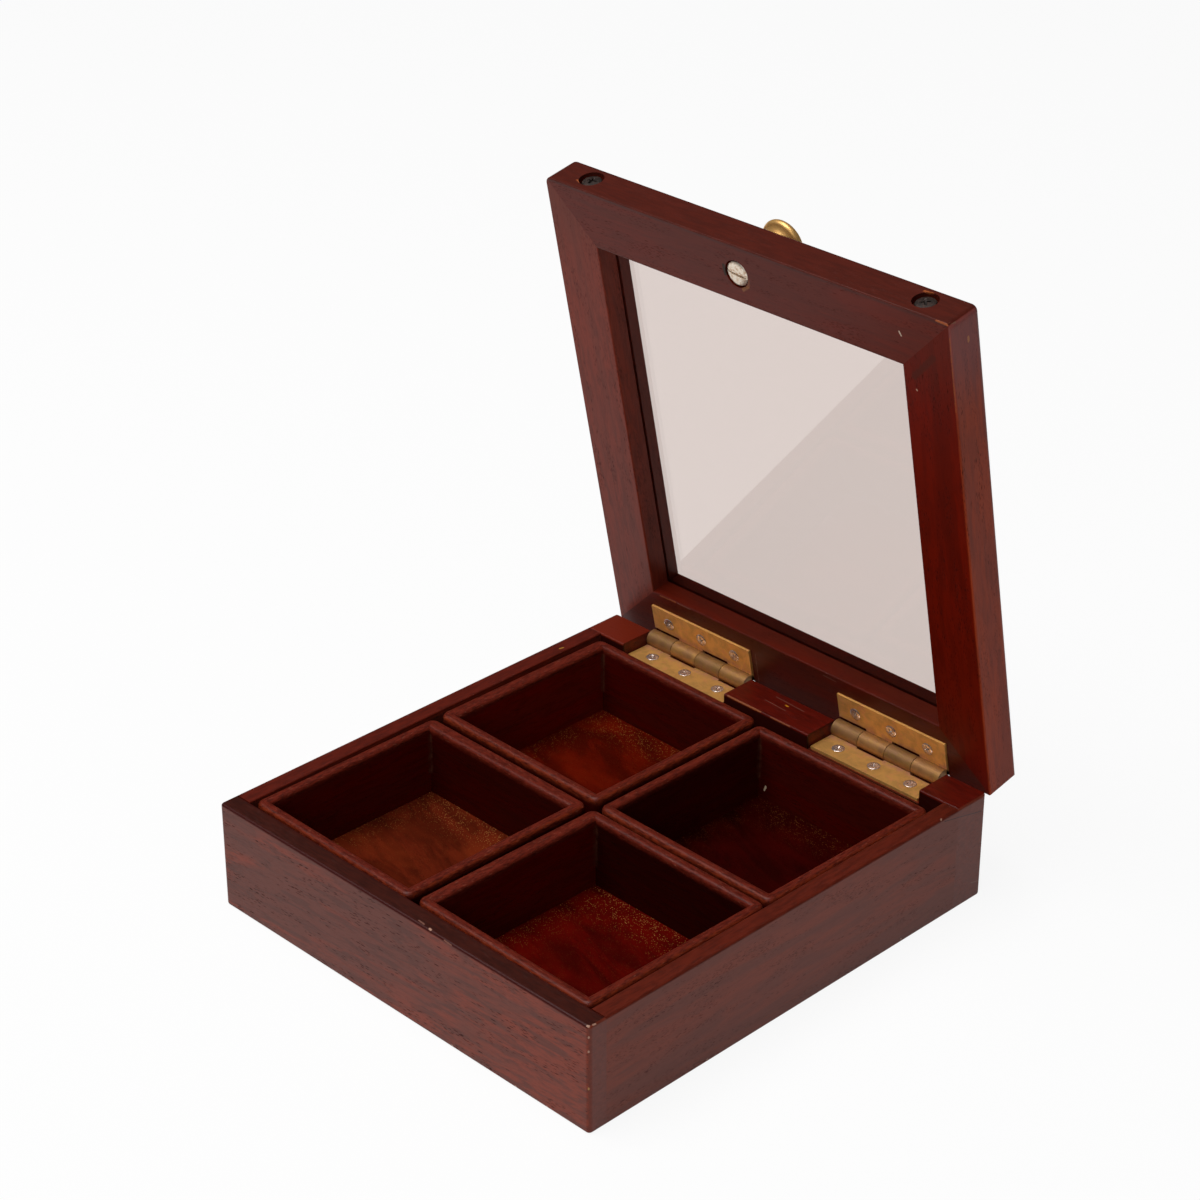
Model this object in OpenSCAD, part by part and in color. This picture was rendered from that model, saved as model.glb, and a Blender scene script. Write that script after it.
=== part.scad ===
// Tea bag organizer box: a hardwood box with a glazed lid on two brass butt hinges and four
// loose trays. Millimetres. The origin is the middle of the underside, +X runs left to right
// along the front wall, +Y runs from the front wall to the hinges and +Z is up.
// Lid parts are drawn on the closed box and turned open about the hinge pins.

/* [Box] */
// Width of the box, left to right
box_w = 180; // [170:1:230]
// Depth of the box, front to back
box_d = 191; // [150:1:240]
// Height of the box under its lid
box_h = 41.2; // [34:0.2:70]
// Thickness of the left and right walls
side_wall_t = 6.8; // [5:0.1:9]
// Thickness of the front wall
front_wall_t = 7.5; // [5:0.1:12]
// Thickness of the rear wall, which carries the hinges
rear_wall_t = 14.8; // [14.2:0.1:20]
// Thickness of the bottom panel
bottom_t = 7.5; // [4:0.5:9]
// Rounding of the box's upright outer corners
corner_r = 1.5; // [1.4:0.1:4]
// Easing of the box's outer rim and lower edges
edge_r = 1; // [0.4:0.1:1.4]
// Easing of the rim's rear edge, which the lid keeps from wear
rear_edge_r = 0.3; // [0.1:0.1:0.6]
// Easing of the rim's inner edge
inner_edge_r = 0.6; // [0.3:0.1:1.2]

/* [Lid] */
// Thickness of the lid's frame
lid_t = 14.5; // [13:0.1:20]
// How far the lid's front edge stays behind the box's front face
lid_setback = 0.6; // [0:0.1:2]
// How far the lid's rear edge stands out behind the box
lid_overhang = 1; // [0:0.1:1.4]
// How far the lid sits to the left of the box
lid_shift = 0.6; // [0:0.1:1.2]
// Width of the left and right rails
rail_w = 21.3; // [18:0.1:26]
// Width of the front rail, which carries the knob
front_rail_w = 22; // [18:0.1:26]
// Width of the rear rail, which carries the hinges
rear_rail_w = 21.2; // [19:0.1:26]
// Rounding of the lid's front corners
lid_corner_r = 2.5; // [2.4:0.1:4]
// Easing of the lid's outside edges
lid_edge_r = 2; // [0.5:0.1:2.4]
// Easing of the edges on the lid's inside face
lid_inner_edge_r = 0.5; // [0.3:0.1:1.4]
// Rounding of the lid's rear corners
lid_rear_corner_r = 0.8; // [0.6:0.1:1.2]
// Easing of the lid's rear edges, which the hinges keep from wear
lid_rear_edge_r = 0.3; // [0.1:0.1:0.6]
// Thickness of the glass
glass_t = 2; // [1.5:0.1:3]
// Depth of the glass below the lid's inside face
glass_inset = 7.8; // [5:0.1:9]
// How deep the glass reaches into the rails' groove
glass_seat = 3.5; // [3:0.1:6]
// Play of the glass on each of its faces
glass_play = 0.1; // [0.05:0.05:0.3]
// Play of the glass at each of its edges
glass_edge_play = 0.5; // [0.2:0.1:1]
// Gap between the closed lid and the box's rim
lid_gap = 0.3; // [0.2:0.1:0.8]
// How far the lid stands open
lid_open = 78.6; // [0:0.1:160]

/* [Hinges] */
// Length of each hinge
hinge_len = 49.4; // [40:0.2:56]
// Distance from each side of the box to the middle of its hinge
hinge_in = 43.9; // [36:0.1:53]
// Radius of the hinge barrel
barrel_r = 3.2; // [2.8:0.05:3.6]
// Thickness of a hinge leaf
leaf_t = 1.2; // [1:0.05:1.5]
// Reach of a leaf from the pin's axis
leaf_reach = 13.8; // [12.4:0.1:14]
// Height of the pin's axis below the box's rim
pin_drop = 2.6; // [2.5:0.05:3]
// Distance of the pin's axis behind the box's rear face
pin_behind = 0.15; // [0.1:0.05:0.5]
// Gap between the barrel and the wood that it turns beside
barrel_gap = 0.1; // [0.05:0.05:0.3]
// Gap between neighbouring knuckles
knuckle_gap = 0.2; // [0.1:0.05:0.4]
// Diameter of the hinge pin
pin_d = 3; // [2:0.1:3.6]
// Clearance round the pin
pin_play = 0.05; // [0.03:0.01:0.1]
// Room at each end of a lid leaf in its mortise
mortise_room = 0.4; // [0.1:0.1:1]
// Room that the maker cut past each hinge's left end
notch_room_left = 0.7; // [0.3:0.1:2]
// Room that the maker cut past each hinge's right end
notch_room_right = 1.6; // [0.3:0.1:3]

/* [Hinge screws] */
// Distance of the screws from the pin's axis
hinge_screw_reach = 8.13; // [7.4:0.05:9]
// Spacing of a leaf's three screws
hinge_screw_pitch = 16.6; // [13:0.1:19]
// Diameter of the countersunk head
hinge_screw_head_d = 4.8; // [4:0.1:5.4]
// Diameter of the shank
hinge_screw_d = 2.2; // [1.8:0.1:2.6]
// Length of the screw
hinge_screw_len = 10; // [6:0.5:12]

/* [Lid screws] */
// Distance of each corner screw from the lid's side
corner_screw_in = 15.7; // [12:0.1:18]
// Diameter of the counterbore over each corner screw
counterbore_d = 9; // [8:0.1:11]
// Depth of that counterbore
counterbore_depth = 2.4; // [1:0.1:4]
// Head diameter of the corner screws
corner_screw_head_d = 7.6; // [6:0.1:8]
// Head height of the corner screws
corner_screw_head_h = 1.8; // [1:0.1:2.5]
// Shank diameter of the corner screws
corner_screw_d = 3.5; // [2.5:0.1:4]
// Length of the corner screws under the head
corner_screw_len = 28; // [20:1:40]

/* [Knob] */
// Place of the knob to the right of the lid's middle
knob_x = -1.4; // [-20:0.1:20]
// Diameter of the knob's rim
knob_d = 17.5; // [14:0.1:21]
// Height of the knob over the lid
knob_h = 11.6; // [11:0.1:16]
// Height of the knob's rim over the lid
knob_rim_h = 8.3; // [7:0.1:8.8]
// Rounding of the knob's rim
knob_rim_r = 1.5; // [1:0.1:2]
// Diameter of the knob's neck
knob_neck_d = 8; // [7:0.1:9]
// Height of the neck's narrowest place over the lid
knob_neck_h = 2.4; // [2:0.1:3.5]
// Diameter of the knob's foot
knob_foot_d = 10.4; // [9:0.1:13]
// Height of the knob's foot
knob_foot_h = 1.2; // [0.8:0.1:1.8]
// Diameter of the screw that holds the knob
knob_screw_d = 4; // [3:0.1:5]
// Head diameter of that screw
knob_screw_head_d = 9; // [8:0.1:9.2]
// Height of that head's straight edge
knob_screw_edge_h = 0.7; // [0.4:0.1:1.2]
// Height of that head's dome over the edge
knob_screw_dome_h = 0.9; // [0.5:0.1:1.6]
// Depth of the recess that the head sits in
knob_screw_recess = 1.2; // [1:0.1:2]
// Diameter of that recess
knob_screw_recess_d = 10.2; // [9.4:0.1:12]
// How far that screw reaches into the knob
knob_screw_grip = 7; // [4:0.1:7.5]
// Turn of that screw's slot
knob_screw_turn = 6.5; // [0:0.5:180]
// Width of that screw's slot
knob_screw_slot_w = 1; // [0.6:0.1:1.4]

/* [Screw fits] */
// Clearance round a screw in its hole
screw_play = 0.05; // [0.02:0.01:0.15]
// Width of a cross recess
recess_w = 0.7; // [0.5:0.05:0.9]
// Depth of a cross recess and of the knob screw's slot
recess_depth = 0.8; // [0.5:0.05:0.9]

/* [Trays] */
// Room left beside two trays, side to side
tray_room_x = 6.4; // [5:0.1:12]
// Room left beside two trays, front to back
tray_room_y = 8.7; // [6:0.1:14]
// Thickness of the tray walls
tray_wall_t = 4.2; // [3.6:0.1:6]
// How much thicker the front left tray's back wall is
front_left_back_more = 1.3; // [0:0.1:1.6]
// How much thicker the rear left tray's left wall is
rear_left_side_more = 1.4; // [0:0.1:1.6]
// How much thicker the front right tray's left wall is
front_right_side_more = 1.3; // [0:0.1:1.6]
// Thickness of a tray's floor
tray_floor_t = 6.3; // [3:0.1:8]
// Rounding of the trays' rims
tray_rim_r = 1.6; // [0.6:0.1:1.7]
// Rounding of the trays' upright outer corners
tray_corner_r = 3.2; // [2:0.1:4]
// How far the trays' rims stay below the box's rim
tray_drop = 0.3; // [0:0.1:2]
// Gap between the front left tray and the left wall
front_left_side_gap = 0.3; // [0.2:0.1:1]
// Gap between the front left tray and the front wall
front_left_front_gap = 0.9; // [0.2:0.1:2]
// Turn of the front left tray
front_left_turn = -0.7; // [-1:0.1:1]
// Gap between the rear left tray and the left wall
rear_left_side_gap = 0.9; // [0.2:0.1:1.2]
// Gap between the two left trays
left_pair_gap = 1.9; // [0.2:0.1:2.3]
// Turn of the rear left tray
rear_left_turn = -0.9; // [-1:0.1:1]
// Gap between the front right tray and the right wall
front_right_side_gap = 0.7; // [0.2:0.1:1]
// Gap between the front right tray and the front wall
front_right_front_gap = 0.6; // [0.2:0.1:2]
// Turn of the front right tray
front_right_turn = -0.7; // [-1:0.1:1]
// Gap between the rear right tray and the right wall
rear_right_side_gap = 0.3; // [0.2:0.1:1]
// Gap between the two right trays
right_pair_gap = 0.7; // [0.2:0.1:3.6]
// Turn of the rear right tray
rear_right_turn = -0.6; // [-1:0.1:1]

/* [Hidden] */
$fn = 48;
past = 1; // how far a cutter runs past the face that it opens
countersink_slope = 0.8; // depth of a countersink for its width on each side
recess_share = 0.6; // length of a cross recess as a part of its head's diameter

// Box
box_front = -box_d / 2;
box_rear = box_d / 2;
cavity_w = box_w - 2 * side_wall_t;
cavity_front = box_front + front_wall_t;
cavity_rear = box_rear - rear_wall_t;
cavity_d = cavity_rear - cavity_front;
cavity_mid_y = (cavity_front + cavity_rear) / 2;

// Lid, on the closed box
lid_z = box_h + lid_gap;
lid_front = box_front + lid_setback;
lid_rear = box_rear + lid_overhang;
lid_mid_y = (lid_rear + lid_front) / 2;
lid_d = lid_rear - lid_front;
window_x = box_w / 2 - rail_w;
window_front = lid_front + front_rail_w;
window_rear = lid_rear - rear_rail_w;
window_d = window_rear - window_front;
window_mid_y = (window_front + window_rear) / 2;
glass_z = lid_z + glass_inset;
groove_depth = glass_seat + glass_edge_play;

// Hinges: each leaf's back lies on the plane that just clears the barrel
pin_y = box_rear + pin_behind;
pin_z = box_h - pin_drop;
leaf_back = barrel_r + barrel_gap;
leaf_face = leaf_back - leaf_t;
leaf_root = barrel_r + knuckle_gap;
knuckles = 4;
knuckle_pitch = hinge_len / knuckles;
hinge_x = box_w / 2 - hinge_in;
hinge_xs = [-hinge_x, hinge_x];
hinge_screw_xs = [for (x = hinge_xs, i = [-1:1]) x + i * hinge_screw_pitch];
countersink_h = (hinge_screw_head_d - hinge_screw_d) / 2 * countersink_slope;

// Lid screws and knob
knob_mid_x = knob_x - lid_shift;
knob_y = lid_front + front_rail_w / 2;
knob_z = lid_z + lid_t;
corner_screw_xs = [for (side = [-1, 1]) side * (box_w / 2 - corner_screw_in) - lid_shift];
corner_screw_z = lid_z + lid_t / 2;
corner_seat_y = lid_front + counterbore_depth;

// Trays: the same room inside each, with its left and back walls thicker by side_more and
// back_more. Each is placed from the walls and from the tray in front of it.
tray_w = (cavity_w - tray_room_x) / 2;
tray_d = (cavity_d - tray_room_y) / 2;
tray_h = box_h - tray_drop - bottom_t;
front_left_y = cavity_front + front_left_front_gap
    + half_depth(front_left_turn, 0, front_left_back_more);
front_right_y = cavity_front + front_right_front_gap
    + half_depth(front_right_turn, front_right_side_more, 0);
rear_left_y = front_left_y + half_depth(front_left_turn, 0, front_left_back_more)
    + left_pair_gap + half_depth(rear_left_turn, rear_left_side_more, 0);
rear_right_y = front_right_y + half_depth(front_right_turn, front_right_side_more, 0)
    + right_pair_gap + half_depth(rear_right_turn, 0, 0);
front_left_x = front_left_side_gap + half_width(front_left_turn, 0, front_left_back_more);
rear_left_x = rear_left_side_gap + half_width(rear_left_turn, rear_left_side_more, 0);
front_right_x = front_right_side_gap + half_width(front_right_turn, front_right_side_more, 0);
rear_right_x = rear_right_side_gap + half_width(rear_right_turn, 0, 0);

// Each tray's middle, turn, side_more and back_more
front_left = [front_left_x - cavity_w / 2, front_left_y, front_left_turn, 0, front_left_back_more];
rear_left = [rear_left_x - cavity_w / 2, rear_left_y, rear_left_turn, rear_left_side_more, 0];
rear_right = [cavity_w / 2 - rear_right_x, rear_right_y, rear_right_turn, 0, 0];
front_right = [
    cavity_w / 2 - front_right_x, front_right_y, front_right_turn, front_right_side_more, 0
];

// Half of the room that a turned tray takes, side to side and front to back
function half_width(turn, side_more, back_more)
    = ((tray_w + side_more) * cos(turn) + (tray_d + back_more) * sin(abs(turn))) / 2;
function half_depth(turn, side_more, back_more)
    = ((tray_d + back_more) * cos(turn) + (tray_w + side_more) * sin(abs(turn))) / 2;

// Thickness of a tray's wall: side 0 is the front, and 1, 2 and 3 follow anticlockwise
function wall_t(place, side)
    = tray_wall_t + (side % 4 == 3 ? place[3] : side % 4 == 2 ? place[4] : 0);

// Finishes
wood = [0.42, 0.2, 0.16];
tray_wood = [0.36, 0.15, 0.11];
brass = [0.76, 0.6, 0.33];
steel = [0.75, 0.74, 0.72];
dark_steel = [0.2, 0.17, 0.16];
clear_glass = [0.86, 0.88, 0.88, 0.35];

// Rectangle w by h that stands on Y = 0, with its lower corners rounded by low_r and its
// upper corners by high_r
module eased_rect(w, h, low_r, high_r) {
    translate([low_r - w / 2, 0])
        square([w - 2 * low_r, low_r]);
    translate([-w / 2, low_r])
        square([w, h - low_r - high_r]);
    translate([high_r - w / 2, h - high_r])
        square([w - 2 * high_r, high_r]);
    for (side = [-1, 1]) {
        translate([side * (w / 2 - low_r), low_r])
            circle(low_r);
        translate([side * (w / 2 - high_r), h - high_r])
            circle(high_r);
    }
}

// Block w by d by h on Z = 0 with upright corners rounded by r, whose lower and upper edges
// are eased by low_r and high_r right round
module eased_block(w, d, h, r, low_r, high_r) {
    for (turn = [0, 90]) {
        across = turn == 0 ? d : w;
        along = turn == 0 ? w : d;
        rotate([0, 0, turn])
            translate([r - along / 2, 0, 0])
                rotate([90, 0, 90])
                    linear_extrude(along - 2 * r)
                        eased_rect(across, h, low_r, high_r);
    }
    for (x = [-1, 1], y = [-1, 1])
        translate([x * (w / 2 - r), y * (d / 2 - r), 0])
            rotate_extrude()
                intersection() {
                    eased_rect(2 * r, h, low_r, high_r);
                    square([r, h]);
                }
}

// Bar along X, t thick from Y = 0 and h high, whose edge at Y = t and Z = h is eased by r
module inner_eased_bar(len, t, h, r) {
    translate([-len / 2, 0, 0])
        rotate([90, 0, 90])
            linear_extrude(len) {
                square([t, h - r]);
                square([t - r, h]);
                translate([t - r, h - r])
                    circle(r);
            }
}

// Box walls
module box_block() {
    run_out = 2 * corner_r; // takes each block's far end clear of the other's
    intersection() {
        translate([0, run_out / 2, 0])
            eased_block(box_w, box_d + run_out, box_h, corner_r, edge_r, edge_r);
        translate([0, -run_out / 2, 0])
            eased_block(box_w, box_d + run_out, box_h, corner_r, edge_r, rear_edge_r);
    }
}

module front_wall() {
    color(wood)
        intersection() {
            box_block();
            translate([0, box_front, 0])
                inner_eased_bar(box_w, front_wall_t, box_h, inner_edge_r);
        }
}

module rear_wall() {
    color(wood)
        difference() {
            intersection() {
                box_block();
                translate([0, box_rear, 0])
                    rotate([0, 0, 180])
                        inner_eased_bar(box_w, rear_wall_t, box_h, inner_edge_r);
            }
            for (x = hinge_xs)
                hinge_notch(x);
            for (x = hinge_screw_xs)
                translate([x, pin_y - hinge_screw_reach, pin_z - leaf_face])
                    screw_hole(hinge_screw_d, hinge_screw_len);
        }
}

// Notch for a base leaf and barrel, cut right through the rear wall
module hinge_notch(x) {
    translate([x - hinge_len / 2 - notch_room_left, cavity_rear - past, pin_z - leaf_back])
        cube([hinge_len + notch_room_left + notch_room_right, rear_wall_t + 2 * past, box_h]);
}

// Side walls stand between the front and rear walls
module side_wall(side) {
    color(wood)
        intersection() {
            box_block();
            translate([side * box_w / 2, cavity_mid_y, 0])
                rotate([0, 0, side * 90])
                    inner_eased_bar(cavity_d, side_wall_t, box_h, inner_edge_r);
        }
}

module bottom_panel() {
    color(wood)
        translate([-cavity_w / 2, cavity_front, 0])
            cube([cavity_w, cavity_d, bottom_t]);
}

// Carries what is drawn on the closed lid to the open lid
module open_lid() {
    translate([0, pin_y, pin_z])
        rotate([-lid_open, 0, 0])
            translate([0, -pin_y, -pin_z])
                children();
}

// Lid frame
module lid_block() {
    run_out = 2 * lid_corner_r;
    intersection() {
        translate([0, lid_mid_y + run_out / 2, lid_z])
            eased_block(box_w, lid_d + run_out, lid_t, lid_corner_r, lid_inner_edge_r, lid_edge_r);
        translate([0, lid_mid_y - run_out / 2, lid_z])
            eased_block(
                box_w,
                lid_d + run_out,
                lid_t,
                lid_rear_corner_r,
                lid_rear_edge_r,
                lid_rear_edge_r
            );
    }
}

// Rail cut to its mitred outline in plan, with the glass groove ploughed in it and its window
// edge eased on the inside face. It lies on the side of the window that turn gives, with 0 for
// the front.
module lid_rail(outline, turn) {
    translate([-lid_shift, 0, 0])
        difference() {
            intersection() {
                lid_block();
                translate([0, 0, lid_z - past])
                    linear_extrude(lid_t + 2 * past)
                        polygon(outline);
            }
            translate([0, window_mid_y, glass_z - glass_play])
                centred_plate(
                    2 * (window_x + groove_depth),
                    window_d + 2 * groove_depth,
                    glass_t + 2 * glass_play
                );
            window_easing(turn);
        }
}

// Plate w by d, centred in plan, that stands on Z = 0
module centred_plate(w, d, h) {
    translate([-w / 2, -d / 2, 0])
        cube([w, d, h]);
}

// What the plane takes off along a rail's window edge, before the rail is mitred
module window_easing(turn) {
    r = lid_inner_edge_r;
    out = turn % 180 == 0 ? window_d / 2 : window_x;
    len = box_w + lid_d;
    translate([0, window_mid_y, lid_z])
        rotate([0, 0, turn])
            translate([-len / 2, -out - r, 0])
                difference() {
                    translate([0, 0, -past])
                        cube([len, r + past, past + r]);
                    translate([-past, 0, r])
                        rotate([0, 90, 0])
                            cylinder(h = len + 2 * past, r = r);
                }
}

module lid_front_rail() {
    color(wood)
        open_lid()
            difference() {
                lid_rail([
                    [-box_w / 2, lid_front],
                    [box_w / 2, lid_front],
                    [window_x, window_front],
                    [-window_x, window_front]
                ], 0);
                for (x = corner_screw_xs)
                    corner_screw_hole(x);
                translate([knob_mid_x, knob_y, lid_z - past]) {
                    cylinder(h = lid_t + 2 * past, d = knob_screw_d + 2 * screw_play);
                    cylinder(h = knob_screw_recess + past, d = knob_screw_recess_d);
                }
            }
}

module lid_rear_rail() {
    color(wood)
        open_lid()
            difference() {
                lid_rail([
                    [-box_w / 2, lid_rear],
                    [box_w / 2, lid_rear],
                    [window_x, window_rear],
                    [-window_x, window_rear]
                ], 180);
                for (x = hinge_xs)
                    lid_mortise(x);
                for (x = hinge_screw_xs)
                    translate([x, pin_y - hinge_screw_reach, pin_z + leaf_face])
                        mirror([0, 0, 1])
                            screw_hole(hinge_screw_d, hinge_screw_len);
            }
}

// Shallow recess that a lid leaf and the barrel sit in
module lid_mortise(x) {
    translate([x - hinge_len / 2 - mortise_room, pin_y - leaf_reach, lid_z - past])
        cube([
            hinge_len + 2 * mortise_room,
            lid_rear - pin_y + leaf_reach + past,
            pin_z + leaf_back - lid_z + past
        ]);
}

module lid_side_rail(side) {
    color(wood)
        open_lid()
            difference() {
                lid_rail([
                    [side * box_w / 2, lid_front],
                    [side * box_w / 2, lid_rear],
                    [side * window_x, window_rear],
                    [side * window_x, window_front]
                ], side * 90);
                for (x = corner_screw_xs)
                    corner_screw_hole(x);
            }
}

module lid_glass() {
    color(clear_glass)
        open_lid()
            translate([-lid_shift, window_mid_y, glass_z])
                centred_plate(
                    2 * (window_x + glass_seat),
                    window_d + 2 * glass_seat,
                    glass_t
                );
}

// Screws
// Hole for a screw driven down from Z = 0
module screw_hole(d, len) {
    translate([0, 0, -len - screw_play])
        cylinder(h = len + screw_play + past, d = d + 2 * screw_play);
}

// Cross recess sunk from Z = 0 in a head of diameter head_d
module cross_recess(head_d) {
    for (turn = [0, 90])
        rotate([0, 0, turn])
            translate([-recess_share * head_d / 2, -recess_w / 2, -recess_depth])
                cube([recess_share * head_d, recess_w, recess_depth + past]);
}

// Countersunk screw driven down from Z = 0, ending in a point
module hinge_screw() {
    point_h = hinge_screw_d;
    difference() {
        union() {
            translate([0, 0, -countersink_h])
                cylinder(h = countersink_h, d1 = hinge_screw_d, d2 = hinge_screw_head_d);
            translate([0, 0, point_h - hinge_screw_len])
                cylinder(h = hinge_screw_len - point_h, d = hinge_screw_d);
            translate([0, 0, -hinge_screw_len])
                cylinder(h = point_h, d1 = 0, d2 = hinge_screw_d);
        }
        rotate([0, 0, 45])
            cross_recess(hinge_screw_head_d);
    }
}

module hinge_base_screws() {
    color(steel)
        for (x = hinge_screw_xs)
            translate([x, pin_y - hinge_screw_reach, pin_z - leaf_face])
                hinge_screw();
}

module hinge_lid_screws() {
    color(steel)
        open_lid()
            for (x = hinge_screw_xs)
                translate([x, pin_y - hinge_screw_reach, pin_z + leaf_face])
                    mirror([0, 0, 1])
                        hinge_screw();
}

// Counterbore and hole for a corner screw, from the lid's front edge
module corner_screw_hole(x) {
    translate([x, corner_seat_y, corner_screw_z])
        rotate([90, 0, 0]) {
            cylinder(h = counterbore_depth + past, d = counterbore_d);
            screw_hole(corner_screw_d, corner_screw_len);
        }
}

module lid_corner_screws() {
    point_h = corner_screw_d;
    color(dark_steel)
        open_lid()
            for (x = corner_screw_xs)
                translate([x, corner_seat_y, corner_screw_z])
                    rotate([90, 0, 0])
                        difference() {
                            union() {
                                cylinder(h = corner_screw_head_h, d = corner_screw_head_d);
                                translate([0, 0, point_h - corner_screw_len])
                                    cylinder(h = corner_screw_len - point_h, d = corner_screw_d);
                                translate([0, 0, -corner_screw_len])
                                    cylinder(h = point_h, d1 = 0, d2 = corner_screw_d);
                            }
                            translate([0, 0, corner_screw_head_h])
                                cross_recess(corner_screw_head_d);
                        }
}

// Turned brass knob on the lid's outside face: foot, neck, flared underside, round rim and
// domed top, bored for its screw
module lid_knob() {
    rim_x = knob_d / 2 - knob_rim_r;
    rim_top = knob_rim_h + knob_rim_r;
    dome_rise = knob_h - rim_top;
    dome_r = (rim_x * rim_x + dome_rise * dome_rise) / (2 * dome_rise);
    color(brass)
        open_lid()
            translate([knob_mid_x, knob_y, knob_z])
                difference() {
                    rotate_extrude() {
                        square([knob_foot_d / 2, knob_foot_h]);
                        polygon([
                            [0, 0],
                            [knob_foot_d / 2, knob_foot_h],
                            [knob_neck_d / 2, knob_neck_h],
                            [rim_x, knob_rim_h - knob_rim_r],
                            [rim_x, rim_top],
                            [0, rim_top]
                        ]);
                        translate([rim_x, knob_rim_h])
                            circle(knob_rim_r);
                        intersection() {
                            translate([0, knob_h - dome_r])
                                circle(dome_r);
                            translate([0, rim_top])
                                square([rim_x, dome_rise]);
                        }
                    }
                    translate([0, 0, -past])
                        cylinder(
                            h = knob_screw_grip + 2 * screw_play + past,
                            d = knob_screw_d + 2 * screw_play
                        );
                }
}

// Slotted screw with a domed head on the lid's inside face, driven up into the knob
module knob_screw() {
    head_r = knob_screw_head_d / 2;
    dome_r = (head_r * head_r + knob_screw_dome_h * knob_screw_dome_h) / (2 * knob_screw_dome_h);
    head_h = knob_screw_edge_h + knob_screw_dome_h;
    shank_len = lid_t - knob_screw_recess + knob_screw_grip;
    color(steel)
        open_lid()
            translate([knob_mid_x, knob_y, lid_z + knob_screw_recess])
                mirror([0, 0, 1])
                    difference() {
                        union() {
                            rotate_extrude() {
                                square([head_r, knob_screw_edge_h]);
                                intersection() {
                                    translate([0, head_h - dome_r])
                                        circle(dome_r);
                                    translate([0, knob_screw_edge_h])
                                        square([head_r, knob_screw_dome_h]);
                                }
                            }
                            translate([0, 0, -shank_len])
                                cylinder(h = shank_len, d = knob_screw_d);
                        }
                        rotate([0, 0, knob_screw_turn])
                            translate([-head_r, -knob_screw_slot_w / 2, head_h - recess_depth])
                                cube([2 * head_r, knob_screw_slot_w, recess_depth + past]);
                    }
}

// Hinges
// Leaf that lies below the pin's axis with its middle at X = x, holding every other knuckle
// from the one numbered first
module hinge_leaf(x, first) {
    translate([x - hinge_len / 2, pin_y, pin_z])
        difference() {
            union() {
                translate([0, -leaf_reach, -leaf_back])
                    cube([hinge_len, leaf_reach - leaf_root, leaf_t]);
                for (i = [first:2:knuckles - 1]) {
                    start = i * knuckle_pitch + (i == 0 ? 0 : knuckle_gap / 2);
                    end = (i + 1) * knuckle_pitch - (i == knuckles - 1 ? 0 : knuckle_gap / 2);
                    translate([start, -leaf_root - past, -leaf_back])
                        cube([end - start, leaf_root + past, leaf_t]);
                    translate([start, 0, 0])
                        rotate([0, 90, 0])
                            cylinder(h = end - start, r = barrel_r);
                }
            }
            translate([-past, 0, 0])
                rotate([0, 90, 0])
                    cylinder(h = hinge_len + 2 * past, d = pin_d + 2 * pin_play);
            for (i = [-1:1])
                translate([hinge_len / 2 + i * hinge_screw_pitch, -hinge_screw_reach, -leaf_face]) {
                    translate([0, 0, -countersink_h])
                        cylinder(h = countersink_h, d1 = hinge_screw_d, d2 = hinge_screw_head_d);
                    translate([0, 0, -leaf_t - past])
                        cylinder(h = leaf_t + past, d = hinge_screw_d + 2 * screw_play);
                }
        }
}

module base_leaf(x) {
    color(brass)
        hinge_leaf(x, 0);
}

// The lid's leaf is a base leaf turned over about the pin, holding the other knuckles
module lid_leaf(x) {
    color(brass)
        open_lid()
            translate([0, 0, pin_z])
                mirror([0, 0, 1])
                    translate([0, 0, -pin_z])
                        hinge_leaf(x, 1);
}

module hinge_pin(x) {
    color(brass)
        translate([x - hinge_len / 2, pin_y, pin_z])
            rotate([0, 90, 0])
                cylinder(h = hinge_len, d = pin_d);
}

// Trays
// Carries what is drawn about a tray's middle, from its underside up, to the tray's place
module tray_at(place) {
    color(tray_wood)
        translate([place[0], place[1], bottom_t])
            rotate([0, 0, place[2]])
                children();
}

// Mitred wall of a tray, on the side that wall_t numbers
module tray_wall(place, side) {
    w = tray_w + place[3];
    d = tray_d + place[4];
    len = side % 2 == 0 ? w : d;
    out = side % 2 == 0 ? d / 2 : w / 2;
    t = wall_t(place, side);
    tray_at(place)
        intersection() {
            eased_block(w, d, tray_h, tray_corner_r, inner_edge_r, tray_rim_r);
            rotate([0, 0, side * 90])
                translate([0, -out, 0])
                    intersection() {
                        inner_eased_bar(len, t, tray_h, tray_rim_r);
                        linear_extrude(tray_h)
                            polygon([
                                [-len / 2, 0],
                                [len / 2, 0],
                                [len / 2 - wall_t(place, side + 1), t],
                                [wall_t(place, side + 3) - len / 2, t]
                            ]);
                    }
        }
}

module tray_floor(place) {
    tray_at(place)
        translate([place[3] / 2, -place[4] / 2, 0])
            centred_plate(tray_w - 2 * tray_wall_t, tray_d - 2 * tray_wall_t, tray_floor_t);
}

front_wall();
rear_wall();
side_wall(-1);  // left_wall
side_wall(1);  // right_wall
bottom_panel();

lid_front_rail();
lid_rear_rail();
lid_side_rail(-1);  // lid_left_rail
lid_side_rail(1);  // lid_right_rail
lid_glass();
lid_corner_screws();
lid_knob();
knob_screw();

base_leaf(-hinge_x);  // left_hinge_base_leaf
lid_leaf(-hinge_x);  // left_hinge_lid_leaf
hinge_pin(-hinge_x);  // left_hinge_pin
base_leaf(hinge_x);  // right_hinge_base_leaf
lid_leaf(hinge_x);  // right_hinge_lid_leaf
hinge_pin(hinge_x);  // right_hinge_pin
hinge_base_screws();
hinge_lid_screws();

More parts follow.
